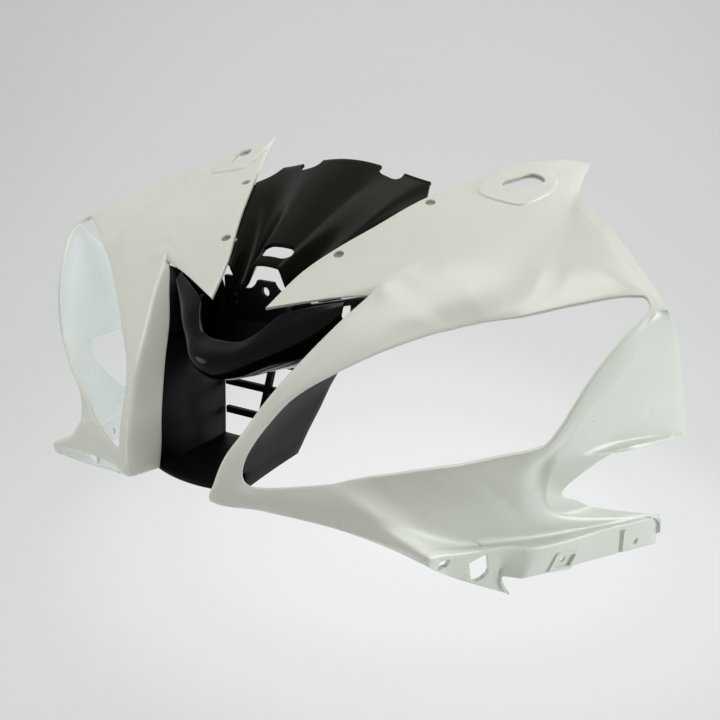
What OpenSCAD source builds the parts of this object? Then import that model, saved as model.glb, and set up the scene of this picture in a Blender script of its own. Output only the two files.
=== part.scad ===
// Upper front fairing of a motorcycle: two unpainted white side mouldings that frame the
// headlight openings, joined by a black intake duct, nose bridge, screen bed and stay bracket.
// The origin is the stay bolt hole on the centre line. X points to the left side of the
// motorcycle, Y to its rear and Z up. The right side mirrors the left.

/* [Overall size] */
// Width across both white mouldings
overall_w = 482; // [440:2:530]
// Length from the nose corners to the tips beside the windscreen
overall_l = 309; // [280:1:340]
// Height from the bracket tabs to the tops of the windscreen flanges
overall_h = 256; // [235:1:280]

/* [Mouldings] */
// Wall of the white mouldings
skin_t = 2.5; // [2:0.25:3]
// Radius of the fold along the nose edge and the ledge
fold_r = 4; // [3.5:0.5:6]
// How far the headlight frame bulges between its edges
frame_bulge = 1.5; // [0:0.25:3]
// Depth of the channel along the lower body
channel_depth = 9; // [2:1:14]
// Depth of the flange that laps the intake duct
duct_flange = 26; // [18:1:30]
// Height of the side panel flange
side_flange_h = 24; // [18:1:30]

/* [Fixings] */
// Diameter of each windscreen hole
screen_hole_d = 7; // [4:0.5:8]
// Diameter of the collar moulded behind each windscreen hole
screen_collar_d = 11; // [10:0.5:13]
// Height of that collar behind the skin
screen_collar_h = 3; // [2:0.5:6]
// Width of the mirror slot
mirror_slot_w = 14.5; // [10:0.5:18]
// Length of the mirror slot
mirror_slot_l = 33; // [26:1:40]
// Diameter of the stay bolt hole
stay_hole_d = 6.4; // [4:0.2:9]
// Diameter of the side panel screw holes
panel_hole_d = 5; // [3:0.25:7]
// Length of the recess round the middle side panel hole
recess_l = 24; // [18:1:28]
// Width of that recess
recess_w = 15; // [12:0.5:16]
// Width of the groove across the side panel flange
groove_w = 3; // [2:0.5:6]
// Depth of that recess and groove
panel_recess = 1; // [0.5:0.1:1.5]
// Width of the square clip hole in the front bracket
clip_hole = 7; // [5:0.5:9]
// Length of the cable hole in the front bracket
cable_hole_l = 20; // [14:1:22]
// Width of that cable hole
cable_hole_w = 12; // [8:0.5:13]

/* [Black parts] */
// Wall of the intake duct
duct_t = 2.5; // [1.5:0.25:3.5]
// Wall of the nose bridge
nose_t = 2.5; // [1.5:0.25:3.5]
// Wall of the screen bed
bed_t = 2.5; // [1.5:0.25:3.5]
// Depth of the valleys beside the middle of the screen bed
bed_valley = 14; // [6:1:18]
// Length of the cable hole in the screen bed
bed_hole_l = 24; // [16:1:30]
// Width of the cable hole in the screen bed
bed_hole_w = 12; // [8:0.5:16]
// Thickness of the grille bars
bar_t = 3; // [2:0.5:5]
// Height of the grille bars
bar_h = 4.5; // [2:0.5:7]
// Spacing of the grille bars
bar_pitch = 17; // [12:1:20]
// Thickness of the stay bracket
bracket_t = 3; // [2:0.25:5]
// Width of the stay bracket
bracket_w = 66; // [56:1:70]
// Height of the stay bracket
bracket_h = 30; // [24:1:34]
// Thickness of the vent ribs
rib_t = 4; // [2.5:0.25:5]
// Clearance between a black part and the white moulding that it seats behind
fit = 0.5; // [0.2:0.1:0.8]

/* [Hidden] */
$fn = 48;

// The points of this part are drawn for an overall size of 482 by 309 by 256, and at() moves
// each of them to the size set above
stretch = [overall_w / 482, overall_l / 309, overall_h / 256];
function at(p) = [p[0] * stretch[0], p[1] * stretch[1], p[2] * stretch[2]];

// Stay bolt hole, measured from the middle of the two lower nose corners
stay_at = at([0, 104, 95]);

// Middle of the space behind the headlight: bulges point away from it
core = at([60, 220, 20]);

// Sections of the left moulding, in order round the headlight opening from the lower nose
// corner up the nose edge, back along the top, down the rear and forward along the bottom.
// Each has the opening edge, the fold, the outer edge, two bulges between the opening edge
// and the fold, the second of them a point along the channel, and 1 where the outer edge
// turns a corner.
OPENING = 0;
FOLD = 1;
OUTER = 2;
BULGE_1 = 3;
BULGE_2 = 4;
CORNER = 5;
b = frame_bulge;
d = channel_depth / stretch[2];
df = duct_flange / stretch[1];
fh = side_flange_h / stretch[2];
SECTIONS = [
    [[50, 12, 10], [31, 0, -2], [29, df, -5], b, b, 1],
    [[48, 12, 18], [32, 3, 9], [30, 4 + df, 9], b, b, 0],
    [[50, 17, 29], [36, 9, 24], [34, 10 + df, 24], b, b, 0],
    [[55, 27, 41], [42, 19, 37], [40, 19 + df, 37], b, b, 0],
    [[65, 40, 56], [50, 33, 55], [48, 32 + df, 54], b, b, 0],
    [[83, 56, 70], [60, 54, 74], [58, 75, 73], b, b, 0],
    [[102, 73, 81], [71, 76, 92], [69, 89, 91], b, b, 0],
    [[118, 87, 88], [80, 97, 106], [79, 102, 104], 2, b, 0],
    [[127, 95, 91], [84, 104, 112], [80, 101, 105], 3, b, 1],
    [[135, 102, 93], [88, 112, 115], [55, 90, 102], 3, 2, 0],
    [[141, 107, 94.5], [92, 119, 119], [21, 74, 95], 4, 3, 1],
    [[146, 111, 95.5], [97, 129, 123], [29, 101, 112], 5, 4, 0],
    [[150, 114, 96.5], [102, 140, 128], [40, 124, 124], 6, 5, 0],
    [[153, 116.5, 97], [108, 153, 132], [53, 150, 135], 6, 5, 0],
    [[156, 119, 97.5], [115, 168, 136], [68, 183, 148], 6, 5, 0],
    [[159, 121, 98], [122, 187, 141], [84, 214, 156.5], 6, 5, 0],
    [[162, 123.5, 98.5], [128, 208, 146], [105, 253, 164], 6, 5, 0],
    [[165, 126, 99], [133, 234, 152], [122, 284, 167], 6, 5, 0],
    [[169, 129, 100], [137, 268, 158], [140, 309, 162], 6, 4, 1],
    [[175, 134, 101.5], [149, 251, 147], [147, 268, 150], 6, 4, 0],
    [[183, 140, 103.5], [159, 234, 143], [156, 252, 147], 6, 4, 0],
    [[192, 147, 105.5], [172, 220, 139], [169, 236, 142], 5, 4, 0],
    [[202, 154, 107.5], [187, 206, 133], [184, 221, 137], 5, 3, 0],
    [[211, 161, 109], [204, 194, 122], [203, 206, 125], 4, 2, 0],
    [[219, 167, 109.5], [219, 184, 112.5], [221, 193, 112], 2, 1, 0],
    [[225, 170, 108.5], [229, 176, 108], [231, 181, 107], 1, 1, 0],
    [[229, 164, 103.5], [234, 167, 103.5], [239, 169, 103], 1, 1, 1],
    [[227.5, 153, 99.5], [233, 160, 98], [240, 177, 95], 1, 1, 0],
    [[223, 141, 91], [230, 155, 88], [240, 190, 83], 1, 1, 0],
    [[217, 130, 80], [226, 148, 75], [240, 206, 66], 1, 1, 0],
    [[212, 121, 69], [219, 137, 61], [239, 222, 46], 1, 1, 0],
    [[208, 115, 59], [213, 130, 50], [239, 236, 28], 1, 1, 0],
    [[203, 109.5, 46], [206, 123, 36], [240, 243, 10], 1, 1, 0],
    [[199, 106, 38], [202, 120, 28], [241, 245, -2], 1, 0, 1],
    [[195, 103, 32], [198, 118, 22], [232, 195, 9], 1, 0, 0],
    [[190, 99.5, 30], [196, 119, 16], [220, 158, 14], 1, -1, 0],
    [[184, 95, 28.5], [193, 120, 9], [207, 142, 4], 2, -2, 0],
    [[177, 90, 27], [189, 126, -6], [192, 146, -16], 2, [185, 115, 4], 0],
    [[172, 86.5, 26], [187, 135, -21], [194, 166, -30], 2, [184, 121, -11], 0],
    [[167, 82.5, 24.8], [190, 156, -36], [200, 192, -45], 2, [183, 127, -15 - d], 0],
    [[162, 78.5, 23.7], [223, 226, -61], [231, 242, -65], 2, [183, 132, -25 - d], 1],
    [[157, 75, 22.5], [231, 241, -65], [229, 243, -65 - fh], 2, [183, 135, -31 - d], 1],
    [[150, 70, 21.5], [212, 182, -53], [206, 181, -53 - fh], 3, [181, 131, -33 - d], 0],
    [[140, 63.5, 20], [198, 139, -46], [191, 138, -45 - fh], 3, [176, 120, -31.5 - d], 0],
    [[130, 57.5, 18.3], [188, 117, -42], [181, 115, -41 - fh], 4, [170, 109, -29.5 - d], 1],
    [[121, 51.5, 17], [178, 103, -37.5], [167, 110, -42 - fh], 4, [163, 96, -27 - d], 0],
    [[116, 48.5, 16.3], [167, 83, -33], [168, 129, -64 - fh], 4, [158, 87, -26 - d], 1],
    [[110, 45, 15.3], [160, 68, -29.5], [160, 97, -43 - fh], 3, [151, 74, -24.5 - d * 0.7], 0],
    [[103, 40.5, 14], [154, 55, -26.5], [153, 72, -26 - fh], 2, [142, 57, -20 - d * 0.4], 0],
    [[95, 35.5, 12], [150, 46, -25], [151, 49, -33], 2, -1, 1],
    [[85, 29.5, 10.5], [126, 41, -21], [125, 47, -27], 1, -1, 0],
    [[72, 22, 9], [95, 29, -13], [94, 37, -18], 1, 0, 0],
    [[60, 16, 8], [58, 15, -7], [57, 25, -11], b, b, 0],
];
// Steps between two sections, and steps across each stretch of one
steps_round = 2;
steps_across = 2;

function lerp(a, c, t) = a + (c - a) * t;
function unit(v) = v / max(norm(v), 0.001);
function outward(p) = unit(p - core);

// Point on the curve from p1 to p2 whose ends turn along their neighbours, or run straight
// into a corner
function on_curve(p0, p1, p2, p3, t, corner_1 = false, corner_2 = false) =
    let (chord = norm(p2 - p1),
         m1 = corner_1 ? p2 - p1 : unit(p2 - p0) * chord,
         m2 = corner_2 ? p2 - p1 : unit(p3 - p1) * chord)
    p1 * (2 * t * t * t - 3 * t * t + 1) + m1 * (t * t * t - 2 * t * t + t)
    + p2 * (3 * t * t - 2 * t * t * t) + m2 * (t * t * t - t * t);

// Opening edge, two bulged points, fold and outer edge of section k
function section(k) =
    let (s = SECTIONS[(k + len(SECTIONS)) % len(SECTIONS)],
         opening = at(s[OPENING]), fold = at(s[FOLD]),
         in_channel = is_list(s[BULGE_2]),
         m1 = in_channel ? lerp(opening, at(s[BULGE_2]), 1 / 2) : lerp(opening, fold, 1 / 3),
         m2 = lerp(opening, fold, 2 / 3))
    [opening, m1 + outward(m1) * s[BULGE_1],
     in_channel ? at(s[BULGE_2]) : m2 + outward(m2) * s[BULGE_2],
     fold, at(s[OUTER])];
function is_corner(k) = SECTIONS[(k + len(SECTIONS)) % len(SECTIONS)][CORNER] == 1;

// The section a fraction t of the way from section k to the next
function between(k, t) =
    let (s0 = section(k - 1), s1 = section(k), s2 = section(k + 1), s3 = section(k + 2))
    [for (j = [0:4])
        on_curve(s0[j], s1[j], s2[j], s3[j], t,
                 j == 4 && is_corner(k), j == 4 && is_corner(k + 1))];

// Points along one section from the opening edge, round the fold, to the outer edge
function across(s) =
    let (turn = acos(min(1, max(-1, unit(s[3] - s[2]) * unit(s[4] - s[3])))),
         reach = fold_r * tan(min(turn, 130) / 2) + 0.5,
         r1 = min(reach, norm(s[3] - s[2]) / 2),
         r2 = min(reach, norm(s[4] - s[3]) / 2),
         before = s[3] + unit(s[2] - s[3]) * r1,
         after = s[3] + unit(s[4] - s[3]) * r2,
         n = steps_across)
    concat([for (i = [0:n - 1]) on_curve(s[0] * 2 - s[1], s[0], s[1], s[2], i / n)],
           [for (i = [0:n - 1]) on_curve(s[0], s[1], s[2], before, i / n)],
           [for (i = [0:n - 1]) on_curve(s[1], s[2], before, before * 2 - s[2], i / n)],
           [before, (before + s[3] * 2 + after) / 4, after],
           [for (i = [1:n]) lerp(after, s[4], i / n)]);

SKIN = [for (k = [0:len(SECTIONS) - 1], i = [0:steps_round - 1])
            across(between(k, i / steps_round))];

// Point and outward direction on the stretch between fold and outer edge: u counts the
// sections and w runs from the fold to the outer edge
function skin_point(u, w) =
    let (s = between(floor(u), u - floor(u))) lerp(s[3], s[4], w);
function skin_normal(u, w) =
    unit(cross(skin_point(u + 0.1, w) - skin_point(u - 0.1, w),
               skin_point(u, w + 0.05) - skin_point(u, w - 0.05)));

// Outward direction at one point of a grid, summed over the cells that meet there
function cell_normal(grid, i, j) =
    cross(grid[(i + 1) % len(grid)][j] - grid[i][j], grid[i][j + 1] - grid[i][j])
    + cross(grid[(i + 1) % len(grid)][j + 1] - grid[i][j + 1],
            grid[(i + 1) % len(grid)][j + 1] - grid[(i + 1) % len(grid)][j]);
function grid_normal(grid, i, j, closed) =
    let (n = len(grid), m = len(grid[0]),
         cells = [for (p = [i - 1, i], q = [j - 1, j])
                     if ((closed || (p >= 0 && p <= n - 2)) && q >= 0 && q <= m - 2)
                         cell_normal(grid, (p + n) % n, q)],
         total = [for (c = cells) 1] * cells)
    unit(total);

// Closed wall of thickness t behind a grid of points
module wall(grid, t, closed = false) {
    n = len(grid);
    m = len(grid[0]);
    last = closed ? n - 1 : n - 2;
    front = [for (i = [0:n - 1], j = [0:m - 1]) grid[i][j]];
    back = [for (i = [0:n - 1], j = [0:m - 1]) grid[i][j] - grid_normal(grid, i, j, closed) * t];
    faces = concat(
        [for (i = [0:last], j = [0:m - 2])
            let (a = i * m + j, c = ((i + 1) % n) * m + j) each [[a, a + 1, c + 1], [a, c + 1, c]]],
        [for (i = [0:last], j = [0:m - 2])
            let (a = n * m + i * m + j, c = n * m + ((i + 1) % n) * m + j)
            each [[a, c + 1, a + 1], [a, c, c + 1]]],
        [for (i = [0:last])
            let (a = i * m, c = ((i + 1) % n) * m, o = n * m)
            each [[a, c, c + o], [a, c + o, a + o]]],
        [for (i = [0:last])
            let (a = i * m + m - 1, c = ((i + 1) % n) * m + m - 1, o = n * m)
            each [[a, c + o, c], [a, a + o, c + o]]],
        closed ? [] : [for (j = [0:m - 2])
            let (a = j, o = n * m) each [[a, a + 1 + o, a + 1], [a, a + o, a + 1 + o]]],
        closed ? [] : [for (j = [0:m - 2])
            let (a = (n - 1) * m + j, o = n * m) each [[a, a + 1, a + 1 + o], [a, a + 1 + o, a + o]]]);
    polyhedron(concat(front, back), faces);
}

// Puts a shape at point p with its Z axis along n, and its X axis level where it can be
module stand_on(p, n, turn = 0) {
    x = unit(cross([0, 1, 0], n));
    y = cross(n, x);
    multmatrix([[x[0], y[0], n[0], p[0]],
                [x[1], y[1], n[1], p[1]],
                [x[2], y[2], n[2], p[2]],
                [0, 0, 0, 1]])
        rotate(turn) children();
}

// Slot-shaped prism
module slot(l, w, h) {
    for (side = [-1, 1]) translate([side * (l - w) / 2, 0, 0]) cylinder(d = w, h = h);
    translate([-(l - w) / 2, -w / 2, 0]) cube([l - w, w, h]);
}

// Prism with one square end and one round end
module round_ended(l, w, h) {
    translate([l / 2 - w / 2, 0, 0]) cylinder(d = w, h = h);
    translate([-l / 2, -w / 2, 0]) cube([l - w / 2, w, h]);
}

// Places of the openings on the windscreen flange, the side panel flange and its front bracket,
// as section count and share across
SCREEN_HOLES = [[11.75, 0.88], [14.1, 0.87]];
MIRROR = [16.19, 0.5];
MIRROR_TURN = 66;
CLIP_HOLE = [48.1, 0.42];
CABLE_HOLE = [46.6, 0.45];
CABLE_TURN = 31;
PANEL_HOLES = [[42.82, 0.68], [41.38, 0.7]];
RECESS_TURN = 81;
GROOVE = [41.67, 0.6];
GROOVE_TURN = 19;

module at_skin(place, turn = 0) {
    stand_on(skin_point(place[0], place[1]), skin_normal(place[0], place[1]), turn) children();
}

module cowl() {
    difference() {
        union() {
            wall(SKIN, skin_t, true);
            for (place = SCREEN_HOLES)
                at_skin(place) translate([0, 0, -skin_t - screen_collar_h])
                    cylinder(d = screen_collar_d, h = screen_collar_h + skin_t / 2);
        }
        for (place = SCREEN_HOLES)
            at_skin(place) translate([0, 0, -skin_t - screen_collar_h - 1])
                cylinder(d = screen_hole_d, h = 2 * skin_t + screen_collar_h + 2);
        at_skin(MIRROR, MIRROR_TURN) translate([0, 0, -10])
            slot(mirror_slot_l, mirror_slot_w, 20);
        at_skin(CLIP_HOLE) translate([-clip_hole / 2, -clip_hole / 2, -skin_t - 1])
            cube([clip_hole, clip_hole, skin_t + 3]);
        at_skin(CABLE_HOLE, CABLE_TURN) translate([0, 0, -skin_t - 2])
            round_ended(cable_hole_l, cable_hole_w, skin_t + 4);
        for (place = PANEL_HOLES)
            at_skin(place) translate([0, 0, -skin_t - 1])
                cylinder(d = panel_hole_d, h = skin_t + 3);
        at_skin(PANEL_HOLES[0], RECESS_TURN) translate([-recess_l / 2, -recess_w / 2, -panel_recess])
            cube([recess_l, recess_w, 4]);
        at_skin(GROOVE, GROOVE_TURN) translate([-side_flange_h / 2, -groove_w / 2, -panel_recess])
            cube([2 * side_flange_h, groove_w, 4]);
    }
}

module left_cowl() { color("whitesmoke") cowl(); }
module right_cowl() { color("whitesmoke") mirror([1, 0, 0]) cowl(); }

// Duct: from behind the white nose flanges back to the throat that holds the grille, as one
// U-shaped wall. THROAT has its throat point beside each section of the nose flange.
THROAT = [[29, 92, -5], [33, 98, 9], [38, 105, 24], [42, 111, 38], [47, 116, 50], [56, 118, 64]];
function throat(i) = at(lerp(THROAT[floor(i)], THROAT[ceil(i)], i - floor(i)));
duct_lap = 0.6;
function duct_front(u) =
    let (past_end = u < 1, w = past_end ? 1 : duct_lap)
    skin_point(u, w) - skin_normal(max(u, 0.3), w) * (skin_t + fit)
    + [0, past_end ? skin_t / 2 + fit : 0, 0];
function duct_row(side, i) =
    [for (w = [0:0.25:1])
        let (p = lerp(duct_front(i), throat(i), w) - [3 * w * (1 - w), 0, 0])
            [side * p[0], p[1], p[2]]];
function floor_row(x) =
    let (front = duct_front(0), rear = throat(0))
    [for (w = [0:0.25:1]) [x * lerp(front[0], rear[0], w),
                           lerp(front[1] + 6 * (x * x - 1), rear[1], w), lerp(front[2], rear[2], w)]];
module intake_duct() {
    color("dimgray") wall(concat(
        [for (i = [5:-0.5:0]) duct_row(-1, i)],
        [for (x = [-0.75:0.25:0.75]) floor_row(x)],
        [for (i = [0:0.5:5]) duct_row(1, i)]), duct_t);
}

NOSE = [
    [[0, 57, 76], [0, 40, 67], [0, 47, 53], [0, 85, 48]],
    [[14, 59, 77], [15, 44, 68], [15, 53, 55], [14, 88, 49]],
    [[24, 66, 84], [27, 55, 73], [26, 62, 60], [26, 92, 51]],
    [[31, 75, 92], [39, 66, 81], [39, 72, 66], [39, 98, 55]],
    [[46, 84, 97], [52, 79, 88], [52, 84, 74], [50, 104, 64]],
    [[65, 96, 101], [65, 91, 96], [65, 95, 86], [60, 108, 76]],
];
module nose_bridge() {
    left = [for (i = [0:len(NOSE) - 1]) NOSE[i]];
    right = [for (i = [len(NOSE) - 1:-1:1]) [for (p = NOSE[i]) [-p[0], p[1], p[2]]]];
    all = [for (s = concat(right, left)) [for (p = s) at(p)]];
    n = len(all);
    fine = [for (i = [0:n - 2], t = [0:0.5:0.5])
        [for (j = [0:3]) on_curve(all[max(i - 1, 0)][j], all[i][j], all[i + 1][j],
                                  all[min(i + 2, n - 1)][j], t)]];
    rows = concat(fine, [all[n - 1]]);
    color("black") wall([for (s = rows) concat(
        [for (t = [0:0.25:0.75]) on_curve(s[3], s[3], s[2], s[1], t)],
        [for (t = [0:0.25:0.75]) on_curve(s[3], s[2], s[1], s[0], t)],
        [for (t = [0:0.25:1]) on_curve(s[2], s[1], s[0], s[0], t)])], nose_t);
}

// Grille: bars across the throat and one upright before them, spaced up from the duct floor
function throat_at(z) = lerp(throat(0), throat(4), (z - throat(0)[2]) / (throat(4)[2] - throat(0)[2]));
module intake_grille() {
    low = throat(0)[2];
    color("black") {
        for (i = [0:2]) {
            p = throat_at(low + 15 + i * bar_pitch);
            half = p[0] - duct_t - fit;
            translate([-half, p[1] - bar_t, p[2] - bar_h / 2]) cube([2 * half, bar_t, bar_h]);
        }
        hull() for (z = [low + fit, low + 17 + 2 * bar_pitch])
            translate([-bar_h / 2, throat_at(z)[1] - 2 * bar_t, z]) cube([bar_h, bar_t, 1]);
    }
}

// Screen bed: a crowned panel whose sides seat under both windscreen flanges. s runs from its
// front edge to its rear edge, and a from the middle to a side.
bed_lap = 0.8;
bed_open = 0.84;
function bed_seat(s, w) =
    let (u = 11 + 4 * s) skin_point(u, w) - skin_normal(u, w) * (skin_t + fit);
function bed_point(a, s) =
    let (lip = bed_seat(s, 1), side = bed_seat(s, bed_lap), mid = at([0, 104 + 104 * s, 113 + 54 * s]),
         t = abs(a) / bed_open, across = (abs(a) - bed_open) / (1 - bed_open),
         dip = bed_valley * (1 - s) * pow(sin(180 * min(t, 1)), 2),
         drop = (mid[2] - lip[2]) * (1 - cos(180 * t)) / 2,
         p = t <= 1 ? [t * lip[0], lerp(mid[1], lip[1], t * t), mid[2] - drop - dip]
                    : lerp(lip, side, across))
    [sign(a) * p[0], p[1], p[2]];
BED_STEPS = concat([-1, -0.92], [for (i = [-7:7]) i * bed_open / 7], [0.92, 1]);
module screen_bed() {
    hole = bed_point(0, 0.125);
    color("black") difference() {
        wall([for (a = BED_STEPS) [for (s = [0:0.125:1]) bed_point(a, s)]], bed_t);
        translate(hole - [0, 0, 20]) slot(bed_hole_l, bed_hole_w, 40);
        for (side = [0, 1], place = SCREEN_HOLES)
            mirror([side, 0, 0]) at_skin(place) translate([0, 0, -20])
                cylinder(d = screen_collar_d + 2 * fit, h = 30);
    }
}

module stay_bracket() {
    color("black") translate(stay_at) difference() {
        translate([-bracket_w / 2, -bracket_t / 2, 7 - bracket_h]) cube([bracket_w, bracket_t, bracket_h]);
        translate([0, bracket_t, 0]) rotate([90, 0, 0]) cylinder(d = stay_hole_d, h = 3 * bracket_t);
        for (side = [-1, 1]) translate([side * bracket_w / 4, bracket_t, 11]) rotate([90, 0, 0])
            cylinder(r = bed_valley - 3, h = 3 * bracket_t);
        for (side = [-1, 1], z = [7 - bracket_h + 4:6:-2])
            translate([side * bracket_w * 0.36 - 0.8, -bracket_t, z]) cube([1.6, 3 * bracket_t, 4]);
    }
}

// Vent ribs: a bar under the front end of the windscreen flange, with legs down to the nose
// bridge
RIB_BAR = [[30, 84, 91], [52, 94, 95], [72, 104, 99]];
RIB_LEGS = [[[33, 85, 90], [32, 72, 67.5]], [[43, 88, 92], [49, 84, 84]], [[53, 94, 94], [56, 94, 91.5]]];
module rib_block(p, h) { translate(at(p)) cube([rib_t, rib_t, h]); }
module vent_ribs() {
    color("black") {
        for (i = [0:1]) hull() {
            rib_block(RIB_BAR[i], 3);
            rib_block(RIB_BAR[i + 1], 3);
        }
        for (leg = RIB_LEGS) hull() {
            rib_block(leg[0], 3);
            rib_block(leg[1], 2);
        }
    }
}
module left_vent_ribs() { vent_ribs(); }
module right_vent_ribs() { mirror([1, 0, 0]) vent_ribs(); }

// Moves the working frame of the nose corners to the stay bolt hole
module placed() { translate(-stay_at) children(); }

placed() left_cowl();
placed() right_cowl();
placed() intake_duct();
placed() nose_bridge();
placed() intake_grille();
placed() screen_bed();
placed() stay_bracket();
placed() left_vent_ribs();
placed() right_vent_ribs();
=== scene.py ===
"""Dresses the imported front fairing: smooth white mouldings, black plastic parts, pale studio."""

import bmesh
import bpy
import numpy as np
from mathutils import Matrix, Vector
from mathutils.bvhtree import BVHTree


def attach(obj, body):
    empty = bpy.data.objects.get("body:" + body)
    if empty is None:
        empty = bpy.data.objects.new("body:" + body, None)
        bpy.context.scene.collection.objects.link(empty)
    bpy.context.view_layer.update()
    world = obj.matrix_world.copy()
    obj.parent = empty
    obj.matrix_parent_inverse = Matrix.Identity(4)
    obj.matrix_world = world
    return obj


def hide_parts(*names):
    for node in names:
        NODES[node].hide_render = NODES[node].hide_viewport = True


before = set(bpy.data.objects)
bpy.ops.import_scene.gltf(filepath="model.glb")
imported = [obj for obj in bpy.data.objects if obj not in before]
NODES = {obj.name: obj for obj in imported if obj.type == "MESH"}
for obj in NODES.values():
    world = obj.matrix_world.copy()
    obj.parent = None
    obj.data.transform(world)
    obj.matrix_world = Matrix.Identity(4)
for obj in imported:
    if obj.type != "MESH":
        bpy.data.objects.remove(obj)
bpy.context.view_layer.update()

# Shared sizes, in millimetres. The working frame has X to the left of the motorcycle, Y to the
# rear and Z up, with its origin in the middle of the nose corners.
STAY = np.array([0.0, 104.0, 95.0])      # the stay bolt hole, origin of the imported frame
CORE = np.array([60.0, 220.0, 20.0])     # the point that the white faces bulge away from
SKIN_T = 2.5         # wall of the white mouldings
FOLD_R = 4.0         # radius of their folded edge
BLACK_T = 2.5        # wall of the duct, the nose bridge and the bed
FIT = 0.5            # gap between a black part and the white moulding
DUCT_LAP = 0.6       # place of the duct's front edge on the flange, from fold 0 to edge 1
BED_LAP = 0.8        # place of the bed's outer edge on the flange
BED_OPEN = 0.84      # share of the bed's half width that lies open between the flanges
b = 1.5              # bulge of the headlight frame
d = 9.0              # depth of the channel under the opening
df = 26.0            # width of the flange beside the duct
fh = 24.0            # height of the side panel flange
OPENING, FOLD, OUTER, BULGE_1, BULGE_2, CORNER = range(6)

# Sections round the left headlight opening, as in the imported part
SECTIONS = [
    [[50, 12, 10], [31, 0, -2], [29, df, -5], b, b, 1],
    [[48, 12, 18], [32, 3, 9], [30, 4 + df, 9], b, b, 0],
    [[50, 17, 29], [36, 9, 24], [34, 10 + df, 24], b, b, 0],
    [[55, 27, 41], [42, 19, 37], [40, 19 + df, 37], b, b, 0],
    [[65, 40, 56], [50, 33, 55], [48, 32 + df, 54], b, b, 0],
    [[83, 56, 70], [60, 54, 74], [58, 75, 73], b, b, 0],
    [[102, 73, 81], [71, 76, 92], [69, 89, 91], b, b, 0],
    [[118, 87, 88], [80, 97, 106], [79, 102, 104], 2, b, 0],
    [[127, 95, 91], [84, 104, 112], [80, 101, 105], 3, b, 1],
    [[135, 102, 93], [88, 112, 115], [55, 90, 102], 3, 2, 0],
    [[141, 107, 94.5], [92, 119, 119], [21, 74, 95], 4, 3, 1],
    [[146, 111, 95.5], [97, 129, 123], [29, 101, 112], 5, 4, 0],
    [[150, 114, 96.5], [102, 140, 128], [40, 124, 124], 6, 5, 0],
    [[153, 116.5, 97], [108, 153, 132], [53, 150, 135], 6, 5, 0],
    [[156, 119, 97.5], [115, 168, 136], [68, 183, 148], 6, 5, 0],
    [[159, 121, 98], [122, 187, 141], [84, 214, 156.5], 6, 5, 0],
    [[162, 123.5, 98.5], [128, 208, 146], [105, 253, 164], 6, 5, 0],
    [[165, 126, 99], [133, 234, 152], [122, 284, 167], 6, 5, 0],
    [[169, 129, 100], [137, 268, 158], [140, 309, 162], 6, 4, 1],
    [[175, 134, 101.5], [149, 251, 147], [147, 268, 150], 6, 4, 0],
    [[183, 140, 103.5], [159, 234, 143], [156, 252, 147], 6, 4, 0],
    [[192, 147, 105.5], [172, 220, 139], [169, 236, 142], 5, 4, 0],
    [[202, 154, 107.5], [187, 206, 133], [184, 221, 137], 5, 3, 0],
    [[211, 161, 109], [204, 194, 122], [203, 206, 125], 4, 2, 0],
    [[219, 167, 109.5], [219, 184, 112.5], [221, 193, 112], 2, 1, 0],
    [[225, 170, 108.5], [229, 176, 108], [231, 181, 107], 1, 1, 0],
    [[229, 164, 103.5], [234, 167, 103.5], [239, 169, 103], 1, 1, 1],
    [[227.5, 153, 99.5], [233, 160, 98], [240, 177, 95], 1, 1, 0],
    [[223, 141, 91], [230, 155, 88], [240, 190, 83], 1, 1, 0],
    [[217, 130, 80], [226, 148, 75], [240, 206, 66], 1, 1, 0],
    [[212, 121, 69], [219, 137, 61], [239, 222, 46], 1, 1, 0],
    [[208, 115, 59], [213, 130, 50], [239, 236, 28], 1, 1, 0],
    [[203, 109.5, 46], [206, 123, 36], [240, 243, 10], 1, 1, 0],
    [[199, 106, 38], [202, 120, 28], [241, 245, -2], 1, 0, 1],
    [[195, 103, 32], [198, 118, 22], [232, 195, 9], 1, 0, 0],
    [[190, 99.5, 30], [196, 119, 16], [220, 158, 14], 1, -1, 0],
    [[184, 95, 28.5], [193, 120, 9], [207, 142, 4], 2, -2, 0],
    [[177, 90, 27], [189, 126, -6], [192, 146, -16], 2, [185, 115, 4], 0],
    [[172, 86.5, 26], [187, 135, -21], [194, 166, -30], 2, [184, 121, -11], 0],
    [[167, 82.5, 24.8], [190, 156, -36], [200, 192, -45], 2, [183, 127, -15 - d], 0],
    [[162, 78.5, 23.7], [223, 226, -61], [231, 242, -65], 2, [183, 132, -25 - d], 1],
    [[157, 75, 22.5], [231, 241, -65], [229, 243, -65 - fh], 2, [183, 135, -31 - d], 1],
    [[150, 70, 21.5], [212, 182, -53], [206, 181, -53 - fh], 3, [181, 131, -33 - d], 0],
    [[140, 63.5, 20], [198, 139, -46], [191, 138, -45 - fh], 3, [176, 120, -31.5 - d], 0],
    [[130, 57.5, 18.3], [188, 117, -42], [181, 115, -41 - fh], 4, [170, 109, -29.5 - d], 1],
    [[121, 51.5, 17], [178, 103, -37.5], [167, 110, -42 - fh], 4, [163, 96, -27 - d], 0],
    [[116, 48.5, 16.3], [167, 83, -33], [168, 129, -64 - fh], 4, [158, 87, -26 - d], 1],
    [[110, 45, 15.3], [160, 68, -29.5], [160, 97, -43 - fh], 3, [151, 74, -24.5 - d * 0.7], 0],
    [[103, 40.5, 14], [154, 55, -26.5], [153, 72, -26 - fh], 2, [142, 57, -20 - d * 0.4], 0],
    [[95, 35.5, 12], [150, 46, -25], [151, 49, -33], 2, -1, 1],
    [[85, 29.5, 10.5], [126, 41, -21], [125, 47, -27], 1, -1, 0],
    [[72, 22, 9], [95, 29, -13], [94, 37, -18], 1, 0, 0],
    [[60, 16, 8], [58, 15, -7], [57, 25, -11], b, b, 0],
]


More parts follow.
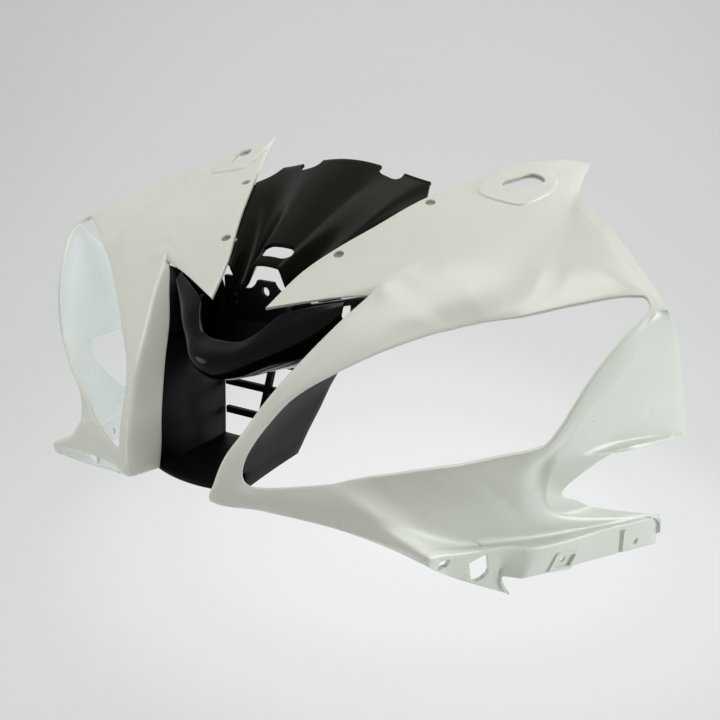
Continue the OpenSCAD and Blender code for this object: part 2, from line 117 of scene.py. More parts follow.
# Curves and shells
MAX_TURN = 130       # largest turn, in degrees, that the rounding of the fold follows
FOLD_EXTRA = 0.5     # added to the length that the rounding takes
FACE_STEPS = 5       # steps in each third of the face, from the opening to the fold
FOLD_STEPS = 5
LIP_STEPS = 8
FACE_COLUMNS = 3 * FACE_STEPS
EDGE_R = 0.7         # rounding of the long edges of a wall
EDGE_MID = 0.3       # place of the middle point of that rounding


def lerp(a, c, t):
    return a + (c - a) * t


def unit(v):
    v = np.asarray(v, float)
    return v / np.maximum(np.linalg.norm(v, axis=-1, keepdims=True), 1e-6)


def on_curve(p0, p1, p2, p3, t, corner_1=False, corner_2=False):
    """Point between p1 and p2 on a curve that turns along its neighbours, or into a corner."""
    p0, p1, p2, p3 = (np.asarray(p, float) for p in (p0, p1, p2, p3))
    chord = np.linalg.norm(p2 - p1, axis=-1, keepdims=True)
    m1 = p2 - p1 if corner_1 else unit(p2 - p0) * chord
    m2 = p2 - p1 if corner_2 else unit(p3 - p1) * chord
    return (p1 * (2 * t**3 - 3 * t**2 + 1) + m1 * (t**3 - 2 * t**2 + t)
            + p2 * (3 * t**2 - 2 * t**3) + m2 * (t**3 - t**2))


def section(k):
    """The five guide points of a section: opening, two on the face, fold and outer edge."""
    s = SECTIONS[k % len(SECTIONS)]
    opening, fold, outer = (np.array(s[i], float) for i in (OPENING, FOLD, OUTER))
    in_channel = isinstance(s[BULGE_2], list)
    if in_channel:
        m1 = lerp(opening, np.array(s[BULGE_2], float), 0.5)
    else:
        m1 = lerp(opening, fold, 1 / 3)
    m2 = lerp(opening, fold, 2 / 3)
    m1 = m1 + unit(m1 - CORE) * s[BULGE_1]
    m2 = np.array(s[BULGE_2], float) if in_channel else m2 + unit(m2 - CORE) * s[BULGE_2]
    return [opening, m1, m2, fold, outer]


def is_corner(k):
    return SECTIONS[k % len(SECTIONS)][CORNER] == 1


def between(k, t):
    """Guide points at a share t of the way from section k to the next one."""
    s = [section(k + i) for i in (-1, 0, 1, 2)]
    return [on_curve(*(q[j] for q in s), t, j == 4 and is_corner(k), j == 4 and is_corner(k + 1))
            for j in range(5)]


def across(s):
    """Points along one section from the opening edge, round the fold, to the outer edge."""
    turn = np.degrees(np.arccos(np.clip(unit(s[3] - s[2]) @ unit(s[4] - s[3]), -1, 1)))
    reach = FOLD_R * np.tan(np.radians(min(turn, MAX_TURN) / 2)) + FOLD_EXTRA
    r1 = min(reach, np.linalg.norm(s[3] - s[2]) / 2)
    r2 = min(reach, np.linalg.norm(s[4] - s[3]) / 2)
    before = s[3] + unit(s[2] - s[3]) * r1
    after = s[3] + unit(s[4] - s[3]) * r2
    shares = [i / FACE_STEPS for i in range(FACE_STEPS)]
    row = [on_curve(s[0] * 2 - s[1], s[0], s[1], s[2], t) for t in shares]
    row += [on_curve(s[0], s[1], s[2], before, t) for t in shares]
    row += [on_curve(s[1], s[2], before, before * 2 - s[2], t) for t in shares]
    for i in range(FOLD_STEPS):
        t = i / (FOLD_STEPS - 1)
        row.append(before * (1 - t)**2 + s[3] * 2 * t * (1 - t) + after * t**2)
    row += [lerp(after, s[4], i / LIP_STEPS) for i in range(1, LIP_STEPS + 1)]
    return row


def skin_point(u, w):
    """Point on the flange: u counts sections, w goes from the fold 0 to the outer edge 1."""
    k = int(np.floor(u))
    s = between(k, u - k)
    return lerp(s[3], s[4], w)


def skin_normal(u, w):
    return unit(np.cross(skin_point(u + 0.1, w) - skin_point(u - 0.1, w),
                         skin_point(u, w + 0.05) - skin_point(u, w - 0.05)))


def grid_normals(g, closed):
    """Outward directions at the points of a grid, summed over the cells that meet there."""
    g = np.asarray(g, float)
    nxt = np.roll(g, -1, axis=0) if closed else g[1:]
    cur = g if closed else g[:-1]
    cell = (np.cross(nxt[:, :-1] - cur[:, :-1], cur[:, 1:] - cur[:, :-1])
            + np.cross(nxt[:, 1:] - cur[:, 1:], nxt[:, 1:] - nxt[:, :-1]))
    total = np.zeros_like(g)
    rows = len(cell)
    for di in (0, 1):
        for dj in (0, 1):
            i = (np.arange(rows) + di) % len(g)
            total[i, dj:dj + cell.shape[1]] += cell
    return unit(total)


def shell(grid, t, closed=False, edge=EDGE_R):
    """Vertices and faces of a wall behind a grid of points, with rounded long edges.

    Each row becomes one loop: along the front, round the far edge, back along the rear face
    and round the near edge. The third result marks the faces on the rear side."""
    g = np.asarray(grid, float)
    n = grid_normals(g, closed)
    r = min(edge, t * 0.45)
    mid = EDGE_MID
    e0 = unit(g[:, 0] - g[:, 1])
    e1 = unit(g[:, -1] - g[:, -2])
    n0, n1 = n[:, 0], n[:, -1]
    cols = [g[:, 0] - e0 * r]
    cols += [g[:, j] for j in range(1, g.shape[1] - 1)]
    cols += [g[:, -1] - e1 * r, g[:, -1] - e1 * r * mid - n1 * r * mid, g[:, -1] - n1 * r,
             g[:, -1] - n1 * (t - r), g[:, -1] - e1 * r * mid - n1 * (t - r * mid)]
    first_back = len(cols)
    cols += [g[:, -1] - e1 * r - n1 * t]
    cols += [g[:, j] - n[:, j] * t for j in range(g.shape[1] - 2, 0, -1)]
    cols += [g[:, 0] - e0 * r - n0 * t]
    last_back = len(cols) - 1
    cols += [g[:, 0] - e0 * r * mid - n0 * (t - r * mid), g[:, 0] - n0 * (t - r),
             g[:, 0] - n0 * r, g[:, 0] - e0 * r * mid - n0 * r * mid]
    loops = np.stack(cols, axis=1)
    rows, m = loops.shape[:2]
    faces, rear = [], []
    for i in range(rows if closed else rows - 1):
        a, c = i * m, ((i + 1) % rows) * m
        for j in range(m):
            q = (j + 1) % m
            faces.append((a + j, a + q, c + q, c + j)[::-1])
            rear.append(first_back <= j < last_back)
    if not closed:
        faces.append(tuple(range(m))[::-1])
        faces.append(tuple((rows - 1) * m + j for j in range(m)))
        rear += [False, False]
    return loops.reshape(-1, 3), faces, rear


# Meshes
def mesh_object(name, verts, faces, materials, slots=None, flip_x=False, smooth=True):
    """A mesh object from points in millimetres of the working frame."""
    pts = (np.asarray(verts, float) - STAY) / 1000
    if flip_x:
        pts = pts * [-1, 1, 1]
        faces = [f[::-1] for f in faces]
    mesh = bpy.data.meshes.new(name)
    mesh.from_pydata(pts.tolist(), [], faces)
    obj = bpy.data.objects.new(name, mesh)
    bpy.context.scene.collection.objects.link(obj)
    for m in materials:
        mesh.materials.append(m)
    if slots is not None:
        mesh.polygons.foreach_set("material_index", np.asarray(slots, dtype=np.int32))
    if smooth:
        mesh.polygons.foreach_set("use_smooth", [True] * len(mesh.polygons))
    bm = bmesh.new()
    bm.from_mesh(mesh)
    bmesh.ops.recalc_face_normals(bm, faces=bm.faces)
    bm.to_mesh(mesh)
    bm.free()
    return obj


def keep_sharp(obj, degrees):
    """Smooth faces with hard edges above an angle."""
    bm = bmesh.new()
    bm.from_mesh(obj.data)
    for e in bm.edges:
        e.smooth = bool(e.calc_face_angle(0) < np.radians(degrees))
    for f in bm.faces:
        f.smooth = True
    bm.to_mesh(obj.data)
    bm.free()


def dress(obj, degrees=50, node=None):
    """Edges and body of a visible piece, and the node that it replaces."""
    keep_sharp(obj, degrees)
    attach(obj, "root")
    if node:
        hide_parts(node)


def cut(obj, cutters, flip=False):
    """Removes prisms, given as (points, faces) in millimetres, from an object."""
    for pts, faces in cutters:
        tool = mesh_object("tool", pts, faces, [], flip_x=flip, smooth=False)
        mod = obj.modifiers.new("cut", "BOOLEAN")
        mod.operation = "DIFFERENCE"
        mod.solver = "MANIFOLD"
        mod.object = tool
        bpy.context.view_layer.objects.active = obj
        bpy.ops.object.modifier_apply(modifier=mod.name)
        bpy.data.objects.remove(tool, do_unlink=True)


# Outlines, and solids made from them, in millimetres
def round_outline(r, n=32):
    return [(r * np.cos(t), r * np.sin(t)) for t in np.linspace(0, 2 * np.pi, n, endpoint=False)]


def block(x0, x1, y0, y1, r=0.0, n=6):
    """Outline of a rectangle, with its corners rounded by r."""
    if r == 0:
        return [(x0, y0), (x1, y0), (x1, y1), (x0, y1)]
    out = []
    for cx, cy, start in ((x1 - r, y0 + r, -90), (x1 - r, y1 - r, 0), (x0 + r, y1 - r, 90),
                          (x0 + r, y0 + r, 180)):
        for t in np.radians(np.linspace(start, start + 90, n)):
            out.append((cx + r * np.cos(t), cy + r * np.sin(t)))
    return out


def stadium(length, width, n=16):
    """Outline of a slot with two round ends."""
    r, h = width / 2, (length - width) / 2
    a = np.linspace(-np.pi / 2, np.pi / 2, n)
    right = [(h + r * np.cos(t), r * np.sin(t)) for t in a]
    return right + [(-x, -y) for x, y in right]


def round_ended(length, width, n=16):
    """Outline with one round end and one square end."""
    r, h = width / 2, length / 2
    arc = [(h - r + r * np.cos(t), r * np.sin(t)) for t in np.linspace(-np.pi / 2, np.pi / 2, n)]
    return [(-h, -r), *arc, (-h, r)]


def prism(outline, depth, place):
    """Points and faces of a prism: an outline in the XY plane, from z = 0 to depth, placed."""
    k = len(outline)
    pts = [place @ Vector((x, y, z)) for z in (0, depth) for x, y in outline]
    faces = [tuple(range(k))[::-1], tuple(range(k, 2 * k))]
    faces += [(i, (i + 1) % k, (i + 1) % k + k, i + k) for i in range(k)]
    return [tuple(p) for p in pts], faces


def ring_between(outer, inside, low, top):
    """Closed frame between two outlines of the same length, from one height to another."""
    n = len(outer)
    lines = ((top, outer), (low, outer), (low, inside), (top, inside))
    pts = [tuple(m @ Vector((x, y, 0))) for m, line in lines for x, y in line]
    faces = [(k * n + i, k * n + (i + 1) % n, ((k + 1) % 4) * n + (i + 1) % n,
              ((k + 1) % 4) * n + i) for k in range(4) for i in range(n)]
    return pts, faces


def stand_on(p, n, turn=0.0):
    """Frame at p whose Z axis is n and whose X axis is level, turned about n."""
    n = unit(n)
    x = unit(np.cross([0, 1, 0], n))
    y = np.cross(n, x)
    m = Matrix(((x[0], y[0], n[0], p[0]), (x[1], y[1], n[1], p[1]), (x[2], y[2], n[2], p[2]),
                (0, 0, 0, 1)))
    return m @ Matrix.Rotation(np.radians(turn), 4, "Z")


def at_skin(place, turn=0.0, lift=0.0):
    """Frame on the flange at a place (u, w), lifted along its normal."""
    n = skin_normal(*place)
    return stand_on(skin_point(*place) + n * lift, n, turn)


def through(outline, place, depth, turn=0.0):
    """Prism through the flange at a place, half of its depth on either side."""
    return prism(outline, depth, at_skin(place, turn, -depth / 2))


# Materials
GRAIN_DEPTH = 0.0004     # metres
CLOUD = 9.0              # scale of the slow clouds
PATCH = CLOUD * 2.7      # scale of the gloss patches


def new_material(name):
    mat = bpy.data.materials.new(name)
    mat.use_nodes = True
    tree = mat.node_tree
    return mat, tree, tree.nodes["Principled BSDF"]


def noise(tree, scale, detail, rough):
    coord = tree.nodes.new("ShaderNodeTexCoord")
    tex = tree.nodes.new("ShaderNodeTexNoise")
    tex.inputs["Scale"].default_value = scale
    tex.inputs["Detail"].default_value = detail
    tex.inputs["Roughness"].default_value = rough
    tree.links.new(coord.outputs["Object"], tex.inputs["Vector"])
    return tex


def ramp(tree, source, stops):
    node = tree.nodes.new("ShaderNodeValToRGB")
    el = node.color_ramp.elements
    while len(el) < len(stops):
        el.new(0.5)
    for e, (pos, col) in zip(el, stops):
        e.position = pos
        e.color = (*col, 1)
    tree.links.new(source, node.inputs["Fac"])
    return node


def grey(v):
    return (v, v, v)


def plastic(name, tints, gloss, bump, grain, specular=0.5):
    """Moulded plastic: slow clouds of two tints, a varied gloss and a fine grain."""
    mat, tree, bsdf = new_material(name)
    slow = noise(tree, CLOUD, 5.0, 0.55)
    tint = ramp(tree, slow.outputs["Fac"], [(0.35, tints[0]), (0.68, tints[1])])
    tree.links.new(tint.outputs["Color"], bsdf.inputs["Base Color"])
    patch = noise(tree, PATCH, 3.0, 0.6)
    sheen = ramp(tree, patch.outputs["Fac"], [(0.3, grey(gloss[0])), (0.7, grey(gloss[1]))])
    tree.links.new(sheen.outputs["Color"], bsdf.inputs["Roughness"])
    fine = noise(tree, grain, 2.0, 0.5)
    bump_node = tree.nodes.new("ShaderNodeBump")
    bump_node.inputs["Strength"].default_value = bump
    bump_node.inputs["Distance"].default_value = GRAIN_DEPTH
    tree.links.new(fine.outputs["Fac"], bump_node.inputs["Height"])
    tree.links.new(bump_node.outputs["Normal"], bsdf.inputs["Normal"])
    bsdf.inputs["Specular IOR Level"].default_value = specular
    return mat


white = plastic("white_abs", [(0.65, 0.645, 0.58), (0.68, 0.675, 0.61)], [0.26, 0.36], 0.06, 900)
# Inner faces and screw collars: a darker, cooler copy of the white, which is painted shade; the
# rougher gloss and the grain are the moulding's back side
shaded_inner_abs = plastic("white_abs_inner_painted_shade", [(0.59, 0.60, 0.585), (0.64, 0.65, 0.63)], [0.45, 0.55],
                0.12, 700)
gloss_black = plastic("gloss_black", [grey(0.0018), grey(0.003)], [0.10, 0.16], 0.04, 500,
                      specular=0.16)
satin_black = plastic("satin_black", [grey(0.003), grey(0.0055)], [0.34, 0.46], 0.15, 1400,
                      specular=0.09)
bed_black = plastic("bed_black", [(0.0035, 0.003, 0.0012), (0.007, 0.006, 0.003)], [0.2, 0.3],
                    0.06, 900, specular=0.065)

# White mouldings. A place on the flange is (u, w), as in skin_point.
STEPS = 6           # rows from one section to the next
RELAX_REACH = STEPS * 0.7                # rows over which the face is evened out
FRONT_Y = 1.8                            # the face goes no further forward than this
SCREEN_HOLES = [(11.75, 0.88), (14.1, 0.87)]
SCREEN_HOLE_D = 7
COLLAR_D, COLLAR_H = 11, 3
MIRROR, MIRROR_TURN = (16.19, 0.5), 66
MIRROR_SLOT = stadium(33, 14.5)
CLIP_HOLE, CLIP_OUTLINE = (48.1, 0.42), block(-3.2, 3.2, -4.2, 4.2, 1.2)
CABLE_HOLE, CABLE_TURN, CABLE_OUTLINE = (46.6, 0.45), 31, round_ended(25, 13)
PANEL_HOLES = [(42.82, 0.68), (41.38, 0.7)]
PANEL_HOLE_D = 5
RECESS_TURN, RECESS = 81, block(-12, 12, -7.5, 7.5, 1.5)
RECESS_INSIDE = block(-9, 9, -5, 5, 1)
RECESS_LOW, RECESS_TOP = -1.6, 0.9       # heights of the frame in the recess
GROOVE, GROOVE_TURN, GROOVE_OUTLINE = (41.67, 0.6), 19, block(-12, 36, -1.5, 1.5)
BEAD_OUTLINE = block(-10, 11, 2.4, 4.6, 1.0)
BEAD_LOW, BEAD_H = -1.2, 2.0
PANEL_CUT = 1                            # depth of the recess and of the groove
PAD_OUTLINE = [(-24.4, -14.5), (-21.7, -30.3), (-8.6, -32.8), (8.9, -30.8), (14.7, -25.8),
               (21.2, 1.4), (18.1, 17.1), (8.0, 30.0), (-2.4, 39.5), (-9.0, 33.0),
               (-15.1, 17.4)]
PAD_PLACE = stand_on(np.array([118.7, 236.3, 156.1]), np.array([0.2, -0.27, 0.94]))
PAD_RISE = 1.5
PAD_RINGS = [(0.12, 1), (0.3, 1), (0.5, 1), (0.7, 1), (0.85, 1), (0.93, 1), (0.96, 0.9),
             (0.98, 0.55), (1.0, 0.0), (1.012, -0.5)]     # share of the outline, share of the rise
PAD_END, PAD_FADE, PAD_LEAST = 40, 26, 0.25    # where and how far the pad sinks to its rear end
PAD_SECTIONS = range(13 * STEPS, 20 * STEPS)   # rows of the skin under the pad
PAD_DROP_FROM, PAD_DROP = 18, 60               # height from which it drops, and how far at most


def relax(rows, reach):
    """Evens out the face between the opening and the fold along the moulding."""
    g = np.array(rows)
    soft = np.zeros_like(g)
    total = 0.0
    for k in range(-int(2 * reach), int(2 * reach) + 1):
        share = np.exp(-0.5 * (k / reach)**2)
        soft += np.roll(g, k, axis=0) * share
        total += share
    weight = np.zeros(g.shape[1])
    weight[:FACE_COLUMNS] = np.sin(np.pi * np.arange(FACE_COLUMNS) / FACE_COLUMNS)**2
    weight = weight[None, :, None]
    return g * (1 - weight) + soft / total * weight


skin = relax([across(between(k, i / STEPS)) for k in range(len(SECTIONS)) for i in range(STEPS)],
             RELAX_REACH)
skin[..., 1] = np.maximum(skin[..., 1], FRONT_Y)


def collar(place):
    """Ring behind the skin round a screw hole."""
    low, top = at_skin(place, 0, -SKIN_T - COLLAR_H), at_skin(place, 0, -SKIN_T * 0.6)
    return ring_between(round_outline(COLLAR_D / 2), round_outline(SCREEN_HOLE_D / 2), low, top)


def mirror_pad():
    """Raised patch round the mirror slot, dropped on the skin from above."""
    near = [skin[k] for k in PAD_SECTIONS]
    m = len(near[0])
    tree = BVHTree.FromPolygons([tuple(p) for row in near for p in row],
                                [(i * m + j, i * m + j + 1, (i + 1) * m + j + 1, (i + 1) * m + j)
                                 for i in range(len(near) - 1) for j in range(m - 1)])
    down = -(PAD_PLACE.to_3x3() @ Vector((0, 0, 1)))
    outline = np.array(PAD_OUTLINE)
    for _ in range(3):      # rounds the corners off
        outline = np.stack([outline * 0.75 + np.roll(outline, -1, 0) * 0.25,
                            outline * 0.25 + np.roll(outline, -1, 0) * 0.75], 1).reshape(-1, 2)
    middle = outline.mean(0)
    lows, tops = [], []
    for share, rise in PAD_RINGS:
        for x, y in middle + (outline - middle) * share:
            fade = np.clip((PAD_END - y) / PAD_FADE, PAD_LEAST, 1)
            hit = tree.ray_cast(PAD_PLACE @ Vector((x, y, PAD_DROP_FROM)), down, PAD_DROP)[0]
            if hit is None:
                hit = PAD_PLACE @ Vector((x, y, 0))
            tops.append(tuple(hit - down * PAD_RISE * rise * fade))
            lows.append(tuple(hit + down * SKIN_T * 0.5))
    n, r = len(outline), len(PAD_RINGS)
    faces = [(i * n + j, i * n + (j + 1) % n, (i + 1) * n + (j + 1) % n, (i + 1) * n + j)
             for i in range(r - 1) for j in range(n)]
    t = n * r
    faces += [tuple(t + v for v in f[::-1]) for f in faces]
    faces += [((r - 1) * n + (j + 1) % n, (r - 1) * n + j, t + (r - 1) * n + j,
               t + (r - 1) * n + (j + 1) % n) for j in range(n)]
    faces += [tuple(range(n))[::-1], tuple(range(t, t + n))]
    return tops + lows, faces


def cowl(half, flip):
    """One white moulding with its holes, and the pieces that stand on it or behind it."""
    verts, faces, rear = shell(skin, SKIN_T, closed=True)
    obj = mesh_object(half + "_cowl_shell", verts, faces, [white, shaded_inner_abs], rear, flip)
    slot_cut = through(MIRROR_SLOT, MIRROR, 24, MIRROR_TURN)
    cut(obj, [through(round_outline(SCREEN_HOLE_D / 2), p, 20) for p in SCREEN_HOLES]
        + [slot_cut,
           through(CLIP_OUTLINE, CLIP_HOLE, 14),
           through(CABLE_OUTLINE, CABLE_HOLE, 16, CABLE_TURN),
           prism(RECESS, 4, at_skin(PANEL_HOLES[0], RECESS_TURN, -PANEL_CUT)),
           prism(GROOVE_OUTLINE, 4, at_skin(GROOVE, GROOVE_TURN, -PANEL_CUT))]
        + [prism(round_outline(PANEL_HOLE_D / 2), SKIN_T + 3, at_skin(p, 0, -SKIN_T - 1))
           for p in PANEL_HOLES], flip)
    dress(obj, node=half + "_cowl")
    frame_ends = [at_skin(PANEL_HOLES[0], RECESS_TURN, h) for h in (RECESS_LOW, RECESS_TOP)]
    extras = [("_panel_frame", ring_between(RECESS, RECESS_INSIDE, *frame_ends)),
              ("_panel_bead", prism(BEAD_OUTLINE, BEAD_H, at_skin(GROOVE, GROOVE_TURN, BEAD_LOW)))]
    for name, shape in extras:
        dress(mesh_object(half + name, *shape, [white], flip_x=flip), 40)
    pad = mesh_object(half + "_mirror_pad", *mirror_pad(), [white], flip_x=flip)
    cut(pad, [slot_cut], flip)
    dress(pad, 60)
    for i, place in enumerate(SCREEN_HOLES):
        ring = mesh_object("%s_collar_%d" % (half, i + 1), *collar(place), [shaded_inner_abs], flip_x=flip)
        dress(ring)


cowl("left", False)
cowl("right", True)

# Intake duct: two side walls and a floor, from the nose edges back to the throat
THROAT = np.array([(29, 92, -5), (33, 98, 9), (38, 105, 24), (42, 111, 38), (47, 116, 50),
                   (56, 118, 64)], float)
DUCT_TOP = 5             # the section at which the side walls end
DUCT_BOW = 3             # how far a side wall bows towards the middle
FLOOR_BOW = 6            # how far the front edge of the floor bows forward
DUCT_STEPS = np.linspace(0, 1, 13)
CHEEK_FROM, CHEEK_SPAN = 4.7, 2.5              # first section, and number of sections
CHEEK_LAP, CHEEK_FIT = 0.75, 0.6
CHEEK_REAR = np.array([[55, 117, 62], [62, 106, 98]], float)
CHEEK_BOW, CHEEK_T = 5, 2.0


def inside_skin(u, w, gap):
    """Point behind the white moulding at (u, w), at a gap from it."""
    return skin_point(u, w) - skin_normal(u, w) * (SKIN_T + gap)


def duct_front(u):
    past_end = u < 1
    w = 1 if past_end else DUCT_LAP
    return (skin_point(u, w) - skin_normal(max(u, 0.3), w) * (SKIN_T + FIT)
            + np.array([0, SKIN_T / 2 + FIT if past_end else 0, 0]))


def throat(i):
    k = min(int(i), len(THROAT) - 2)
    return lerp(THROAT[k], THROAT[k + 1], i - k)


def wall_row(side, front, rear, bow, steps):
    """Points from a front to a rear edge, bowed towards the middle."""
    return [(lerp(front, rear, w) - [bow * w * (1 - w), 0, 0]) * [side, 1, 1] for w in steps]


def floor_row(x):
    front, rear = duct_front(0), throat(0)
    return [[x * lerp(front[0], rear[0], w), lerp(front[1] + FLOOR_BOW * (x * x - 1), rear[1], w),
             lerp(front[2], rear[2], w)] for w in DUCT_STEPS]


def duct_side(side, heights):
    return [wall_row(side, duct_front(i), throat(i), DUCT_BOW, DUCT_STEPS) for i in heights]


def cheek(side, steps=24):
    """Black wall that closes the gap between the duct, the nose bridge and the white moulding."""
    rows = []
    for i in range(steps + 1):
        front = inside_skin(CHEEK_FROM + CHEEK_SPAN * i / steps, CHEEK_LAP, CHEEK_FIT)
        rear = lerp(*CHEEK_REAR, i / steps)
        rows.append(wall_row(side, front, rear, CHEEK_BOW, np.linspace(0, 1, 9)))
    return rows


heights = np.linspace(0, DUCT_TOP, 21)
duct_grid = (duct_side(-1, heights[::-1]) + [floor_row(x) for x in np.linspace(-0.9, 0.9, 13)]
             + duct_side(1, heights))
duct = mesh_object("duct_shell", *shell(duct_grid, BLACK_T)[:2], [satin_black])
dress(duct, node="intake_duct")
for side, half in ((1, "left"), (-1, "right")):
    wall = shell(cheek(side), CHEEK_T)[:2]
    dress(mesh_object(half + "_cheek", *wall, [satin_black]))

# Nose bridge: rows of upper rear, upper front, lower front and lower rear points, to the left
NOSE = np.array([
    [[0, 57, 76], [0, 40, 67], [0, 47, 53], [0, 85, 48]],
    [[14, 59, 77], [15, 44, 68], [15, 53, 55], [14, 88, 49]],
    [[24, 66, 84], [27, 55, 73], [26, 62, 60], [26, 92, 51]],
    [[31, 75, 92], [39, 66, 81], [39, 72, 66], [39, 98, 55]],
    [[46, 84, 97], [52, 79, 88], [52, 84, 74], [50, 104, 64]],
    [[65, 96, 101], [65, 91, 96], [65, 95, 86], [60, 108, 76]],
], float)
NOSE_EDGE = 0.9
NOSE_STEPS = np.arange(0, 1, 1 / 6)
CUP_HALF = 56            # the cup's rear wall reaches this far to each side
CUP_TOP = np.array([0, 107.5, 82])       # middle of its top edge
CUP_TAPER = 0.98         # width at the top edge, as a share of the width below
CUP_SIDE, CUP_SLOPE, CUP_SIDE_RISE = 35, 5, 17    # beside the stay bracket the edge is higher
CUP_SEAT = [0, 1, 1.5]   # from the edge of the nose bridge to the wall's foot
CUP_T = 1.5


def nose_rows():
    rows = np.concatenate([NOSE[:0:-1] * [-1, 1, 1], NOSE])
    n = len(rows)
    return [[on_curve(rows[max(i - 1, 0)][j], rows[i][j], rows[i + 1][j],
                      rows[min(i + 2, n - 1)][j], t) for j in range(4)]
            for i in range(n - 1) for t in NOSE_STEPS] + [list(rows[-1])]


def nose_across(s):
    return ([on_curve(s[3], s[3], s[2], s[1], t) for t in NOSE_STEPS]
            + [on_curve(s[3], s[2], s[1], s[0], t) for t in NOSE_STEPS]
            + [on_curve(s[2], s[1], s[0], s[0], t) for t in [*NOSE_STEPS, 1.0]])


def cup_wall():
    """Rear wall of the cup, from the rear edge of the nose bridge up to the stay bracket."""
    rows = []
    for p in [row[3] for row in nose_rows() if abs(row[3][0]) < CUP_HALF]:
        rise = CUP_SIDE_RISE * np.clip((abs(p[0]) - CUP_SIDE) / CUP_SLOPE, 0, 1)
        top = CUP_TOP + [p[0] * CUP_TAPER, 0, rise]
        rows.append([lerp(p + CUP_SEAT, top, w) for w in np.linspace(0, 1, 7)])
    return rows


nose_grid = [nose_across(s) for s in nose_rows()]
nose = mesh_object("nose_shell", *shell(nose_grid, BLACK_T, edge=NOSE_EDGE)[:2], [gloss_black])
dress(nose, node="nose_bridge")
dress(mesh_object("cup_wall", *shell(cup_wall(), CUP_T)[:2], [satin_black]))

# Screen bed: a runs across from -1 to 1, s from the front edge 0 to the rear edge 1
BED_FRONT, BED_REAR = np.array([[0, 104, 113], [0, 208, 167]], float)    # on the centre line
BED_FROM, BED_SPAN = 11, 4      # first section of the flange under the bed, number of sections
BED_VALLEY = 14                 # depth of the hollow on each side, at the front
BED_CREST = 0.32                # the hollow begins at this share of the open half width
BED_HOLE, BED_HOLE_Y = stadium(24, 12), 117
BED_CORNER = [(61, 240), (61, 211), (66, 198), (84, 160), (110, 160), (110, 240)]
NOTCH_X, NOTCH_HALF, NOTCH_Y, NOTCH_R = 33, 9, 201, 6
BED_CUT = Matrix.Translation((0, 0, 80))
BED_CUT_H = 160
MIRRORED = Matrix.Scale(-1, 4, (1, 0, 0))


def bed_seat(s, w):
    return inside_skin(BED_FROM + BED_SPAN * s, w, FIT)


def bed_point(a, s):
    lip, side = bed_seat(s, 1), bed_seat(s, BED_LAP)
    mid = lerp(BED_FRONT, BED_REAR, s)
    t = abs(a) / BED_OPEN
    hollow = np.sin(np.pi * np.clip((t - BED_CREST) / (1 - BED_CREST), 0, 1))**2
    drop = (mid[2] - lip[2]) * (1 - np.cos(np.pi * t)) / 2
    if t <= 1:
        p = np.array([t * lip[0], lerp(mid[1], lip[1], t * t),
                      mid[2] - drop - BED_VALLEY * (1 - s) * hollow])
    else:
        p = lerp(lip, side, (abs(a) - BED_OPEN) / (1 - BED_OPEN))
    return p * [np.sign(a), 1, 1]


def bed_cuts():
    """The oval hole, the cut corners, the rear notches and the room for the screw collars."""
    cuts = [prism(BED_HOLE, 60, BED_CUT @ Matrix.Translation((0, BED_HOLE_Y, 0)))]
    for side in (-1, 1):
        cuts.append(prism([(side * x, y) for x, y in BED_CORNER][::side], BED_CUT_H, BED_CUT))
    for x in (-NOTCH_X, NOTCH_X):
        notch = block(x - NOTCH_HALF, x + NOTCH_HALF, NOTCH_Y, 240, NOTCH_R)
        cuts.append(prism(notch, BED_CUT_H, BED_CUT))
    for p in SCREEN_HOLES:
        place = at_skin(p, 0, -13)
        cuts += [prism(round_outline(COLLAR_D / 2 + 1), 14, m) for m in (MIRRORED @ place, place)]
    return cuts


spread = [-1, -0.96, -0.92, -0.88, *np.linspace(-BED_OPEN, BED_OPEN, 61), 0.88, 0.92, 0.96, 1]
bed_grid = [[bed_point(a, s) for s in np.linspace(0, 1, 31)] for a in spread]
bed = mesh_object("bed_shell", *shell(bed_grid, BLACK_T)[:2], [bed_black])
cut(bed, bed_cuts())
dress(bed, node="screen_bed")

# Parts that stay as packed
for node, mat in (("intake_grille", satin_black), ("stay_bracket", satin_black),
                  ("left_vent_ribs", gloss_black), ("right_vent_ribs", gloss_black)):
    for slot in NODES[node].material_slots:
        slot.material = mat

# Camera and lights
AZIMUTH, ELEVATION = 31.40, 19.49
CAMERA = (0.375, -0.499, 0.1732)


def camera_matrix(azimuth, elevation, place):
    a, e = np.radians(azimuth), np.radians(elevation)
    right = np.array([np.cos(a), np.sin(a), 0])
    back = np.array([np.sin(a) * np.cos(e), -np.cos(a) * np.cos(e), np.sin(e)])
    up = np.cross(back, right)
    return Matrix(((right[0], up[0], back[0], place[0]), (right[1], up[1], back[1], place[1]),
                   (right[2], up[2], back[2], place[2]), (0, 0, 0, 1)))


cam_data = bpy.data.cameras.new("camera")
cam_data.sensor_width = 36
cam_data.lens = 50
cam_data.clip_end = 400
cam = bpy.data.objects.new("camera", cam_data)
bpy.context.scene.collection.objects.link(cam)
cam.matrix_world = camera_matrix(AZIMUTH, ELEVATION, CAMERA)
bpy.context.scene.camera = cam


def area_light(name, place, target, size, power, colour):
    data = bpy.data.lights.new(name, "AREA")
    data.shape = "DISK"
    data.size = size
    data.energy = power
    data.color = colour
    obj = bpy.data.objects.new(name, data)
    bpy.context.scene.collection.objects.link(obj)
    place, target = Vector(place), Vector(target)
    obj.location = place
    obj.rotation_euler = (target - place).to_track_quat("-Z", "Y").to_euler()


area_light("key_light", (0.1, 0.1, 2.1), (0, 0.1, 0), 1.6, 25, (1.0, 0.985, 0.95))
area_light("side_light", (1.5, 0.8, 0.15), (0.1, 0.1, -0.05), 1.1, 18, (0.88, 0.97, 1.0))
area_light("far_light", (-1.5, -1.3, 0.25), (-0.1, 0.0, -0.03), 1.1, 8, (0.97, 1.0, 1.0))

world = bpy.data.worlds.new("studio")
bpy.context.scene.world = world
world.use_nodes = True
background = world.node_tree.nodes["Background"]
background.inputs["Color"].default_value = (0.80, 0.83, 0.82, 1)
background.inputs["Strength"].default_value = 0.5

